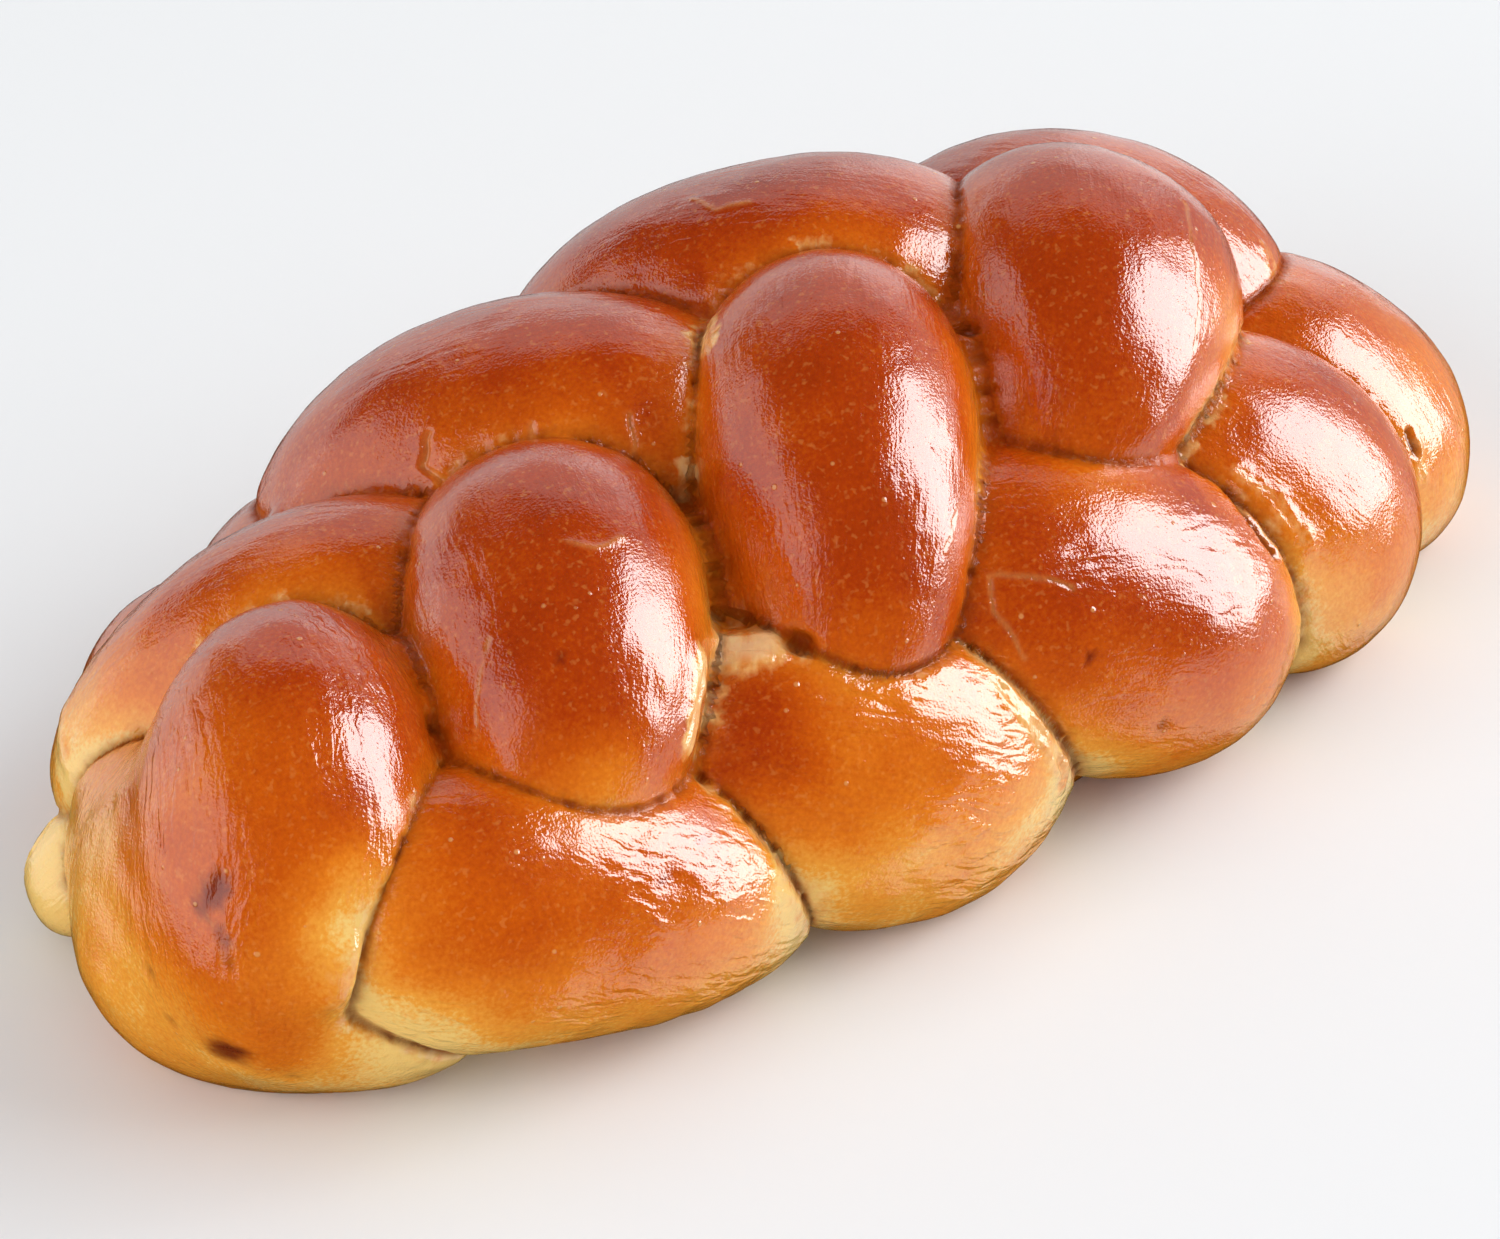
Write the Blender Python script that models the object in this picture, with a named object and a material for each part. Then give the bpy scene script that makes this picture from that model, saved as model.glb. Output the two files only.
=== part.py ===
"""A braided loaf in metres: plump lobes of plaited dough fused into one solid, cut flat below.

The long axis is X, the back is +Y, and the origin is the middle of the underside.
"""

from functools import partial

import bmesh
import bpy
from mathutils import Vector

MM = 0.001
AROUND = 24  # facets round one lobe
ALONG = 15  # rings from one end of a lobe to the other
CORE_Y, CORE_Z = 0.0, 22.0  # line inside the loaf that every lobe bulges away from, mm
INNER = 0.65  # how thick the buried side of a lobe is against its outer side
FLAT_AT = 0.0  # height of the flat underside, mm
CENTRE = (6.6, 2.85)  # what is taken off X and Y so the box is centred on the origin, mm

# Each lobe is one visible bulge of a strand, in mm: where it leaves the middle of the
# loaf, the point that pulls its centre line up and out, where it tucks under, its
# half width at either end, its half thickness, and how blunt its ends are.
LOBES = {
    "front_high_0": ((-94, 7, 46), (-124, -31, 86), (-140, -34, 12), 26, 25, 26, 2.6),
    "front_high_1": ((-36, 8, 54), (-60, -24, 84), (-80, -51, 37), 31, 27, 28, 2.4),
    "front_high_2": ((31, 9, 66), (10, -22, 98), (-20, -55, 34), 30, 25, 29, 2.4),
    "front_high_3": ((91, 9, 61), (81, -20, 94), (42, -42, 54), 36, 24, 27, 2.4),
    "back_high_1": ((-50, -4, 48), (-88, 16, 68), (-120, 38, 14), 29, 28, 26, 2.6),
    "back_high_2": ((14, -2, 52), (-32, 26, 89), (-50, 58, 26), 32, 34, 28, 3.0),
    "back_high_3": ((74, -2, 56), (27, 29, 99), (8, 60, 28), 32, 34, 28, 3.0),
    "back_high_4": ((132, -10, 36), (100, 22, 76), (78, 54, 26), 31, 31, 27, 2.4),
    "front_low_0": ((-131, -31, 36), (-86, -59, 43), (-29, -50, 7), 28, 26, 26, 2.3),
    "front_low_1": ((-54, -26, 36), (-20, -67, 43), (29, -54, 7), 31, 30, 26, 2.3),
    "front_low_2": ((-4, -28, 42), (44, -63, 54), (83, -52, 8), 33, 31, 29, 2.4),
    "front_low_3": ((56, -12, 46), (96, -58, 50), (118, -42, 2), 32, 32, 28, 2.4),
    "back_low_0": ((-100, 26, 26), (-92, 56, 26), (-66, 55, 6), 25, 26, 24, 2.3),
    "back_low_1": ((-84, 20, 32), (-60, 68, 34), (-28, 54, 4), 26, 26, 24, 2.3),
    "back_low_2": ((-24, 24, 34), (0, 80, 36), (34, 56, 4), 28, 28, 26, 2.3),
    "back_low_3": ((36, 24, 36), (62, 80, 38), (94, 54, 4), 28, 28, 26, 2.3),
    "back_low_4": ((92, 10, 36), (124, 56, 34), (141, 10, 4), 30, 30, 26, 2.4),
    "near_end": ((-86, -36, 20), (-128, -36, 28), (-134, 20, 20), 25, 30, 30, 2.6),
    "near_end_top": ((-92, 4, 30), (-130, 2, 40), (-130, 12, 12), 24, 25, 22, 2.6),
    "near_end_nub": ((-114, 20, 24), (-134, 30, 16), (-128, 34, 2), 13, 13, 12, 2.2),
    "far_end": ((100, 10, 36), (146, -28, 38), (144, -26, -4), 32, 34, 28, 2.4),
}

# The crumb behind the lobes, which fills the middle: its centre and half sizes, mm.
CORE_AT, CORE_HALF, CORE_BLUNT = (2, 2, 26), (136, 62, 43), 0.7


def clear_scene():
    for obj in list(bpy.data.objects):
        bpy.data.objects.remove(obj)


def centre_line(lobe, u):
    """Point and direction of a lobe's centre line, from 0 at its root to 1 at its tip."""
    root, crown, tip = (Vector(p) for p in lobe[:3])
    point = root * (1 - u) ** 2 + crown * (2 * u * (1 - u)) + tip * u**2
    along = (crown - root) * (1 - u) + (tip - crown) * u
    return point, along.normalized()


def lobe_point(lobe, unit):
    """Carries a point of the unit sphere onto the lobe's skin, in mm."""
    wide_root, wide_tip, deep, blunt = lobe[3:]
    u = (unit.z + 1) / 2
    point, along = centre_line(lobe, u)
    outward = point - Vector((0.8 * point.x, CORE_Y, CORE_Z))
    side = outward.cross(along).normalized()
    lift = along.cross(side)
    round_ = Vector((unit.x, unit.y))
    if round_.length < 1e-6:
        return point
    round_ = round_.normalized() * (1 - abs(unit.z) ** blunt) ** (1 / blunt)
    wide = wide_root + (wide_tip - wide_root) * u
    if round_.y < 0:
        deep *= INNER
    return point + side * (wide * round_.x) + lift * (deep * round_.y)


def core_point(unit):
    """Carries a point of the unit sphere onto the blunt core, in mm."""
    blunt = (abs(c) ** CORE_BLUNT * (1 if c > 0 else -1) for c in unit)
    return Vector(at + half * c for at, half, c in zip(CORE_AT, CORE_HALF, blunt))


def make_egg(name, skin):
    """A closed faceted egg: a unit sphere carried point by point by the skin function."""
    bm = bmesh.new()
    bmesh.ops.create_uvsphere(bm, u_segments=AROUND, v_segments=ALONG, radius=1)
    shift = Vector((CENTRE[0], CENTRE[1], FLAT_AT))
    for vert in bm.verts:
        vert.co = (skin(vert.co.copy()) - shift) * MM
    mesh = bpy.data.meshes.new(name)
    bm.to_mesh(mesh)
    bm.free()
    obj = bpy.data.objects.new(name, mesh)
    bpy.context.collection.objects.link(obj)
    return obj


def make_table_cutter():
    """A block filling everything below the flat underside."""
    bm = bmesh.new()
    bmesh.ops.create_cube(bm, size=1)
    bmesh.ops.scale(bm, verts=bm.verts, vec=Vector((0.5, 0.4, 0.1)))
    bmesh.ops.translate(bm, verts=bm.verts, vec=Vector((0, 0, -0.05)))
    mesh = bpy.data.meshes.new("below_the_loaf")
    bm.to_mesh(mesh)
    bm.free()
    obj = bpy.data.objects.new("below_the_loaf", mesh)
    bpy.context.collection.objects.link(obj)
    return obj


def add_boolean(target, other, operation):
    """Joins the other solid to the target, or takes it away, and hides the other."""
    modifier = target.modifiers.new(other.name, "BOOLEAN")
    modifier.operation = operation
    modifier.solver = "MANIFOLD"  # EXACT drops bodies where this many skins cross
    modifier.object = other
    other.hide_render = True
    other.display_type = "WIRE"


def crust_material():
    material = bpy.data.materials.new("egg_washed_crust")
    material.use_nodes = True
    shader = material.node_tree.nodes["Principled BSDF"]
    shader.inputs["Base Color"].default_value = (0.36, 0.105, 0.022, 1)
    shader.inputs["Roughness"].default_value = 0.3
    return material


def build_loaf():
    loaf = make_egg("loaf", core_point)
    for name, lobe in LOBES.items():
        add_boolean(loaf, make_egg(name, partial(lobe_point, lobe)), "UNION")
    add_boolean(loaf, make_table_cutter(), "DIFFERENCE")
    loaf.data.shade_smooth()
    loaf.data.materials.append(crust_material())


clear_scene()
build_loaf()
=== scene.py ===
# %% [markdown]
# # A braided egg loaf
# The real thing is a plait of enriched dough: each strand dives under its neighbour and
# comes up again, so from outside it is a pile of plump lobes with tight seams between
# them. It is brushed with beaten egg, so the tops bake to a glossy red-brown, while the
# seams that opened in the oven stay gold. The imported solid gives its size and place, and
# everything below makes the skin of that same loaf.

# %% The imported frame
import math
from functools import partial

import bmesh
import bpy
import numpy as np
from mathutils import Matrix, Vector, noise
from mathutils.bvhtree import BVHTree
from mathutils.kdtree import KDTree


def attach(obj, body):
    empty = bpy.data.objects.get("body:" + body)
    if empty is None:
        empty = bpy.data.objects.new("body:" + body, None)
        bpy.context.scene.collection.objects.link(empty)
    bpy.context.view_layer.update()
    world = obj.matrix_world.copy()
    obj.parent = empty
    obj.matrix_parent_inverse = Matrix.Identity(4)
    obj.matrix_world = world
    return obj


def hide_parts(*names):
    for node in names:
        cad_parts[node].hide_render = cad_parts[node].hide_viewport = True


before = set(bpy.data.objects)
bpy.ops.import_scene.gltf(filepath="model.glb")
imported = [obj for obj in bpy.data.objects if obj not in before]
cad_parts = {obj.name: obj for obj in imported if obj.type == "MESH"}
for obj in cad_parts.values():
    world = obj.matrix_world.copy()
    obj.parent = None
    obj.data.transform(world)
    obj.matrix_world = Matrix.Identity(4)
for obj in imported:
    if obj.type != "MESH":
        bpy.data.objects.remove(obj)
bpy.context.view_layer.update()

MM = 0.001

# %% [markdown]
# Each lobe is one visible bulge of a strand. Its centre line leaves the middle of the
# loaf, is pulled up and out by a crown point, and tucks under at its tip. These are the
# same lobes as the solid's, in millimetres, so the skin can't drift from it.

# %% The lobes of the plait
LOBES = {  # root, crown, tip, half width at root and tip, half thickness, bluntness
    "front_high_0": ((-94, 7, 46), (-124, -31, 86), (-140, -34, 12), 26, 25, 26, 2.6),
    "front_high_1": ((-36, 8, 54), (-60, -24, 84), (-80, -51, 37), 31, 27, 28, 2.4),
    "front_high_2": ((31, 9, 66), (10, -22, 98), (-20, -55, 34), 30, 25, 29, 2.4),
    "front_high_3": ((91, 9, 61), (81, -20, 94), (42, -42, 54), 36, 24, 27, 2.4),
    "back_high_1": ((-50, -4, 48), (-88, 16, 68), (-120, 38, 14), 29, 28, 26, 2.6),
    "back_high_2": ((14, -2, 52), (-32, 26, 89), (-50, 58, 26), 32, 34, 28, 3.0),
    "back_high_3": ((74, -2, 56), (27, 29, 99), (8, 60, 28), 32, 34, 28, 3.0),
    "back_high_4": ((132, -10, 36), (100, 22, 76), (78, 54, 26), 31, 31, 27, 2.4),
    "front_low_0": ((-131, -31, 36), (-86, -59, 43), (-29, -50, 7), 28, 26, 26, 2.3),
    "front_low_1": ((-54, -26, 36), (-20, -67, 43), (29, -54, 7), 31, 30, 26, 2.3),
    "front_low_2": ((-4, -28, 42), (44, -63, 54), (83, -52, 8), 33, 31, 29, 2.4),
    "front_low_3": ((56, -12, 46), (96, -58, 50), (118, -42, 2), 32, 32, 28, 2.4),
    "back_low_0": ((-100, 26, 26), (-92, 56, 26), (-66, 55, 6), 25, 26, 24, 2.3),
    "back_low_1": ((-84, 20, 32), (-60, 68, 34), (-28, 54, 4), 26, 26, 24, 2.3),
    "back_low_2": ((-24, 24, 34), (0, 80, 36), (34, 56, 4), 28, 28, 26, 2.3),
    "back_low_3": ((36, 24, 36), (62, 80, 38), (94, 54, 4), 28, 28, 26, 2.3),
    "back_low_4": ((92, 10, 36), (124, 56, 34), (141, 10, 4), 30, 30, 26, 2.4),
    "near_end": ((-86, -36, 20), (-128, -36, 28), (-134, 20, 20), 25, 30, 30, 2.6),
    "near_end_top": ((-92, 4, 30), (-130, 2, 40), (-130, 12, 12), 24, 25, 22, 2.6),
    "near_end_nub": ((-114, 20, 24), (-134, 30, 16), (-128, 34, 2), 13, 13, 12, 2.2),
    "far_end": ((100, 10, 36), (146, -28, 38), (144, -26, -4), 32, 34, 28, 2.4),
}
NAMES = list(LOBES)
CORE_AT, CORE_HALF, CORE_BLUNT = (2, 2, 26), (136, 62, 43), 0.7  # the crumb behind the lobes
CORE_Y, CORE_Z = 0.0, 22.0  # line inside the loaf that every lobe bulges away from
FOLLOW = 0.8  # how far that line's nearest place follows a lobe along the loaf
INNER = 0.65  # how thick the buried side of a lobe is against its outer side
SHIFT = Vector((6.6, 2.85, 0.0))  # taken off, so the loaf is centred on the origin
print(len(LOBES), "lobes")

# %% [markdown]
# A lobe is a sphere whose poles ride at the two ends of its centre line. Every point is
# carried there and pushed sideways and outwards, so the round facets follow the strand.

# %% Bending a sphere into a lobe
AROUND, ALONG = 96, 64  # facets round a lobe and from end to end
AT_POLE = 1e-6  # a unit point closer to the axis than this is a pole


def centre_line(lobe, u):
    """Point and direction of a lobe's centre line, from 0 at its root to 1 at its tip."""
    root, crown, tip = (Vector(p) for p in lobe[:3])
    point = root * (1 - u) ** 2 + crown * (2 * u * (1 - u)) + tip * u**2
    along = (crown - root) * (1 - u) + (tip - crown) * u
    return point, along.normalized()


def lobe_point(lobe, unit):
    """Carries a point of the unit sphere onto the lobe's skin, in mm."""
    wide_root, wide_tip, deep, blunt = lobe[3:]
    u = (unit.z + 1) / 2
    point, along = centre_line(lobe, u)
    outward = point - Vector((FOLLOW * point.x, CORE_Y, CORE_Z))
    side = outward.cross(along).normalized()
    lift = along.cross(side)
    ring = Vector((unit.x, unit.y))
    if ring.length < AT_POLE:
        return point - SHIFT
    ring = ring.normalized() * (1 - abs(unit.z) ** blunt) ** (1 / blunt)
    if ring.y < 0:
        deep *= INNER
    wide = wide_root + (wide_tip - wide_root) * u
    return point + side * (wide * ring.x) + lift * (deep * ring.y) - SHIFT


def core_point(unit):
    """Carries a point of the unit sphere onto the blunt core, in mm."""
    blunt = (abs(c) ** CORE_BLUNT * (1 if c > 0 else -1) for c in unit)
    return Vector(at + half * c for at, half, c in zip(CORE_AT, CORE_HALF, blunt)) - SHIFT


def egg(carry):
    """A sphere whose points are carried one by one onto a lobe or the core, in mm."""
    bm = bmesh.new()
    bmesh.ops.create_uvsphere(bm, u_segments=AROUND, v_segments=ALONG, radius=1)
    for vert in bm.verts:
        vert.co = carry(vert.co.copy())
    bm.normal_update()
    return bm


def add_to(joined, bm):
    """Puts a copy of one bmesh into another."""
    mesh = bpy.data.meshes.new("one_lobe")
    bm.to_mesh(mesh)
    joined.from_mesh(mesh)
    bpy.data.meshes.remove(mesh)


trees = []
joined = bmesh.new()
for name in NAMES:
    lobe = egg(partial(lobe_point, LOBES[name]))
    trees.append(BVHTree.FromBMesh(lobe))
    add_to(joined, lobe)
    lobe.free()
core = egg(core_point)
add_to(joined, core)
core.free()
print("lobes joined:", len(joined.verts), "points")

# %% [markdown]
# The overlapping lobes become one skin with a voxel remesh, as if the dough had fused
# where the strands touch. What lies below the baking tray is cut away and closed flat.

# %% One fused skin
VOXEL = 2.1  # mm
TRAY_GAP = 0.05  # mm, what is closer to the tray than this lies on it

draft = bpy.data.meshes.new("draft")
joined.to_mesh(draft)
joined.free()
draft_object = bpy.data.objects.new("draft", draft)
bpy.context.scene.collection.objects.link(draft_object)
remesh = draft_object.modifiers.new("fuse", "REMESH")
remesh.mode = "VOXEL"
remesh.voxel_size = VOXEL
graph = bpy.context.evaluated_depsgraph_get()
skin = bmesh.new()
skin.from_mesh(draft_object.evaluated_get(graph).to_mesh())
bpy.data.objects.remove(draft_object)
everything = skin.verts[:] + skin.edges[:] + skin.faces[:]
bmesh.ops.bisect_plane(skin, geom=everything, dist=TRAY_GAP, plane_co=(0, 0, 0),
                       plane_no=(0, 0, 1), clear_inner=True)
print("skin:", len(skin.verts), "points after the cut")

# %% [markdown]
# A seam is where a point of the skin is close to a second lobe. Its distance to that
# lobe drives nearly everything later: how deep the seam is, where it tears, and where
# the egg wash stops.

# %% How far each point is from every lobe
FAR = 18.0  # mm, further than any seam reaches
MARGIN = FAR + 14  # mm, round the six pins that mark how far a lobe extends
SAME = 99.0  # mm, stands in for the distance to a lobe of the same group
BLENDED = {"front_high_0": 0, "near_end": 0, "near_end_top": 0}  # one piece of dough
PINS = ((1, 0, 0), (-1, 0, 0), (0, 1, 0), (0, -1, 0), (0, 0, 1), (0, 0, -1))
GROUP = np.array([BLENDED.get(name, 1 + i) for i, name in enumerate(NAMES)])


def lobe_distances(co):
    """Distance from each point to each lobe's skin, less than 0 inside, at most FAR mm."""
    away = np.full((len(co), len(NAMES)), FAR)
    for k, name in enumerate(NAMES):
        pins = np.array([lobe_point(LOBES[name], Vector(unit)) for unit in PINS])
        near = ((co > pins.min(0) - MARGIN) & (co < pins.max(0) + MARGIN)).all(1)
        tree = trees[k]
        for i in np.flatnonzero(near):
            spot, normal, _, distance = tree.find_nearest(co[i], FAR)
            if spot is not None:
                inside = (Vector(co[i]) - spot).dot(normal) < 0
                away[i, k] = -distance if inside else distance
    return away


def seam_fields(away):
    """Owner lobe, distance to the nearest lobe of another group, and that lobe."""
    owner = np.argmin(away, 1)
    others = np.where(GROUP[None] == GROUP[owner][:, None], SAME, away)
    return owner, np.clip(others.min(1), 0, FAR), others.argmin(1)


def smooth_step(x, low, high):
    """0 below low, 1 above high, and an even slope between."""
    t = np.clip((x - low) / (high - low), 0, 1)
    return t * t * (3 - 2 * t)


def set_points(bm, co):
    for vert, point in zip(bm.verts, co):
        vert.co = point


def get_points(bm):
    return np.array([vert.co for vert in bm.verts])


def get_edges(bm):
    bm.verts.index_update()
    return np.array([[v.index for v in edge.verts] for edge in bm.edges])


def relax(co, edges, weight, rounds):
    """Moves each point towards its neighbours' mean, as far as its weight says."""
    ends, starts = edges.ravel(), edges[:, ::-1].ravel()
    count = np.bincount(ends, minlength=len(co))[:, None]
    for _ in range(rounds):
        total = np.stack([np.bincount(ends, c[starts], len(co)) for c in co.T], 1)
        co = co + (total / count - co) * weight[:, None]
    return co


points = get_points(skin)
away = lobe_distances(points)
owner, seam, across = seam_fields(away)
print("points within 3 mm of a seam:", int((seam < 3).sum()))

# %% [markdown]
# Some marks belong to one lobe: cracks where the skin split as it rose, patches where it
# tore away from its neighbour, and dark spots where sugar or a raisin scorched. Each is
# placed on its lobe by how far along it lies, from root to tip, and by its angle round
# the strand, so it stays on the skin wherever the lobe goes.

# %% Cracks, torn patches and dark spots
CRACKS = [  # lobe, half width in mm, depth in mm, then places (along, degrees round)
    ("front_low_2", 0.35, 0.5,
     ((0.37, 9), (0.31, 13), (0.26, 14), (0.26, 2), (0.28, -6), (0.30, -16))),
    ("front_high_3", 0.3, 0.35, ((0.42, 19), (0.52, 21), (0.60, 28), (0.70, 30))),
    ("front_high_1", 0.35, -0.3, ((0.52, 0), (0.53, 9), (0.50, 20))),
    ("back_high_3", 0.35, -0.3, ((0.53, 33), (0.50, 41), (0.46, 39))),
    ("back_high_2", 0.6, 1.2, ((0.57, 62), (0.59, 74), (0.56, 84))),
    ("back_high_2", 0.5, 0.8, ((0.44, 64), (0.45, 78))),
    ("back_high_2", 0.5, 0.8, ((0.32, 58), (0.31, 72))),
    ("front_high_1", 0.3, 0.3, ((0.66, -36), (0.72, -44), (0.80, -52))),
    ("front_high_2", 0.3, 0.3, ((0.66, 34), (0.73, 24))),
    ("front_low_2", 1.4, 1.6, ((0.68, 62), (0.70, 50), (0.74, 40))),
    ("far_end", 0.8, 1.4, ((0.59, -47), (0.63, -49))),
    ("front_low_1", 1.5, 2.4, ((0.335, 62), (0.35, 58))),
    ("near_end_nub", 0.5, 0.8, ((0.38, -10), (0.52, 8), (0.68, 2))),
]
PATCHES = [  # lobe, from one place to another, half width and height in mm, how torn
    ("front_high_1", (0.66, 58), (0.80, 55), 3.4, 0.7, 0.85),
    ("front_low_1", (0.21, 60), (0.28, 57), 5.0, 1.5, 1.0),
    ("front_low_1", (0.66, 50), (0.84, 22), 3.0, 0.4, 0.7),
    ("front_low_3", (0.38, -12), (0.52, -24), 2.6, 0.5, 0.3),
    ("front_high_0", (0.76, 42), (0.82, 42), 4.0, 0.7, 0.3),
    ("front_low_0", (0.85, 32), (0.93, 22), 6.0, 0.0, 0.35),
    ("back_high_1", (0.86, 20), (0.88, 50), 2.6, 0.5, 0.45),
    ("front_high_2", (0.30, -66), (0.36, -66), 4.0, 0.2, 0.6),
    ("far_end", (0.62, -47), (0.68, -51), 2.0, 0.4, 0.4),
    ("back_high_4", (0.14, 40), (0.10, 52), 3.0, 0.3, 0.3),
]
SPOTS = [  # lobe, from one place to another, half width in mm, and how dark
    ("front_high_0", (0.715, -24), (0.685, -16), 2.3, 0.9),
    ("front_high_0", (0.745, -15), (0.80, -10), 1.3, 0.65),
    ("front_high_0", (0.86, -75), (0.87, -72), 1.2, 0.45),
    ("front_high_0", (0.90, -70), (0.93, -73), 0.9, 0.4),
    ("front_high_0", (0.965, -27), (0.96, -20), 3.8, 1.0),
    ("front_high_0", (0.98, 45), (0.98, 60), 0.9, 0.35),
    ("front_high_1", (0.70, -10), (0.70, -9), 0.7, 0.7),
    ("front_low_0", (0.56, 30), (0.585, 35), 0.7, 0.7),
    ("front_low_0", (0.64, 50), (0.65, 51), 0.9, 0.7),
    ("front_low_2", (0.40, -15), (0.40, -14), 0.8, 0.9),
    ("front_low_2", (0.56, -35), (0.58, -37), 0.8, 0.5),
    ("far_end", (0.48, 12), (0.49, 13), 0.8, 0.5),
]
STEPS = 40  # points from one place to the next


def on_lobe(name, along, degrees):
    """A place on a lobe's skin, in mm."""
    z, turn = 2 * along - 1, math.radians(degrees)
    ring = math.sqrt(1 - z * z)
    place = Vector((ring * math.sin(turn), ring * math.cos(turn), z))
    return np.array(lobe_point(LOBES[name], place))


def mark_points(name, places):
    """Points 0.5 mm apart or closer from place to place on a lobe."""
    spots = []
    for (along_a, turn_a), (along_b, turn_b) in zip(places, places[1:]):
        for k in range(STEPS):
            t = k / STEPS
            spots.append(on_lobe(name, along_a + (along_b - along_a) * t,
                                 turn_a + (turn_b - turn_a) * t))
    return np.array(spots)


def distance_to(co, spots, reach):
    """Distance from each point to the nearest of the spots, or reach if further."""
    out = np.full(len(co), float(reach))
    near = np.flatnonzero(((co > spots.min(0) - reach) & (co < spots.max(0) + reach)).all(1))
    if len(near):
        gaps = np.linalg.norm(co[near][:, None] - spots[None], axis=2).min(1)
        out[near] = np.minimum(gaps, reach)
    return out


def on_skin(gap):
    """The same gaps, measured along the skin where the place lies a little off it."""
    return np.sqrt(np.clip(gap ** 2 - gap.min() ** 2, 0, None))


CRACK_AT = [mark_points(name, places) for name, _, _, places in CRACKS]
PATCH_AT = [mark_points(patch[0], patch[1:3]) for patch in PATCHES]
SPOT_AT = [mark_points(spot[0], spot[1:3]) for spot in SPOTS]
print(len(CRACKS), "cracks,", len(PATCHES), "patches,", len(SPOTS), "spots")

# %% [markdown]
# The remesh rounds every seam off. The facets beside a seam are halved, put back on
# their own lobe, and the last ones pulled onto the line where two lobes meet.

# %% Sharp seams
SEAM_BANDS = (3.6, 1.4)  # mm on each side of a seam: halved once, then once more
CRACK_EDGE = 0.6  # mm from a crack's middle that count as the crack itself
CRACK_REACH, PATCH_REACH = 5.0, 30.0  # mm, further than the bands of either reach


def to_detail(co, seam):
    """Distance in mm to the nearest thing that needs fine facets: a seam, crack or patch."""
    near = seam.copy()
    for spots in CRACK_AT:
        near = np.minimum(near, distance_to(co, spots, CRACK_REACH) - CRACK_EDGE)
    for spots, patch in zip(PATCH_AT, PATCHES):
        near = np.minimum(near, distance_to(co, spots, PATCH_REACH) - 0.5 * patch[3])
    return near


for width in SEAM_BANDS:
    near = to_detail(points, seam)
    band = [edge for edge in skin.edges if max(near[v.index] for v in edge.verts) < width]
    bmesh.ops.subdivide_edges(skin, edges=band, cuts=1, use_grid_fill=True)
    skin.verts.index_update()
    edges = get_edges(skin)
    points = get_points(skin)
    away = lobe_distances(points)
    owner, seam, across = seam_fields(away)
on_base = points[:, 2] < 2 * TRAY_GAP
fixed = np.where(on_base, 0.0, 1.0)  # 0 where a point has to stay on the tray
print("facets beside the seams halved:", len(points), "points")

# %% [markdown]
# The seam itself is a line: each edge of the mesh that runs from one lobe to another is
# crossed by it where both lobes are equally far. How far a point is from that line, its
# reach, shapes the pinch and the tear along the seam.

# %% Where two lobes meet
def onto_lobes(co, owner, weight):
    """Moves each point towards the nearest place on its own lobe."""
    for i in np.flatnonzero((weight > 0) & ~on_base):
        spot = trees[owner[i]].find_nearest(co[i])[0]
        co[i] += (np.array(spot) - co[i]) * weight[i]
    return co


def seam_line(co, edges, away, owner):
    """Where edges cross from one lobe's side to another's, and the two lobes there."""
    a, b = edges[GROUP[owner[edges[:, 0]]] != GROUP[owner[edges[:, 1]]]].T
    here = away[a, owner[a]] - away[a, owner[b]]
    there = away[b, owner[a]] - away[b, owner[b]]
    t = np.clip(here / np.where(here - there == 0, 1, here - there), 0, 1)[:, None]
    return co[a] * (1 - t) + co[b] * t, owner[a], owner[b]


def nearest_on_line(co, line):
    """For each point, which crossing of the seam line is nearest, and how far it is."""
    tree = KDTree(len(line))
    for i, point in enumerate(line):
        tree.insert(point, i)
    tree.balance()
    found = [tree.find(point) for point in co]
    return np.array([f[1] for f in found]), np.array([f[2] for f in found])


def widest(reach, edges, rounds):
    """The largest reach a few steps around each point of the same lobe."""
    for _ in range(rounds):
        most = reach.copy()
        np.maximum.at(most, edges[:, 0], reach[edges[:, 1]])
        np.maximum.at(most, edges[:, 1], reach[edges[:, 0]])
        reach = most
    return reach


# %% [markdown]
# Where a thin sliver of a third lobe shows between two others, real dough has closed up.
# Each half of the sliver is given to the lobe beside it and the gap is relaxed shut, so
# one clean crease is left.

# %% Closing the slivers
THIN = 3.0  # mm, half the width of the widest sliver that closes
SNAP = 0.6  # mm, points closer than this to the seam line are pulled onto it
line, side_a, side_b = seam_line(points, edges, away, owner)
nearest, reach = nearest_on_line(points, line)
inner = edges[GROUP[owner[edges[:, 0]]] == GROUP[owner[edges[:, 1]]]]
thin = widest(reach, inner, 10) < THIN
owner = np.where(thin, across, owner)
points = onto_lobes(points, owner, np.where((seam < SEAM_BANDS[0]) & ~thin, 1.0, 0.0))
closing = relax(thin[:, None].astype(float), edges, np.ones(len(points)), 5)[:, 0]
points = relax(points, edges, 0.9 * np.clip(2 * closing, 0, 1) * fixed, 30)
line, side_a, side_b = seam_line(points, edges, away, owner)
nearest, reach = nearest_on_line(points, line)
line_at = line[nearest]
own_side = GROUP[side_a[nearest]] == GROUP[owner]
across = np.where(own_side, side_b[nearest], side_a[nearest])
snap = np.clip(1 - reach / SNAP, 0, 1)[:, None]
points += (line_at - points) * snap
print("seam line:", len(line), "crossings;", int(thin.sum()), "points were slivers")

# %% [markdown]
# The near end of the plait is one piece of dough that folds over, so its three lobes
# flow into each other. Between them the skin is relaxed until the hollows are shallow.

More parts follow.
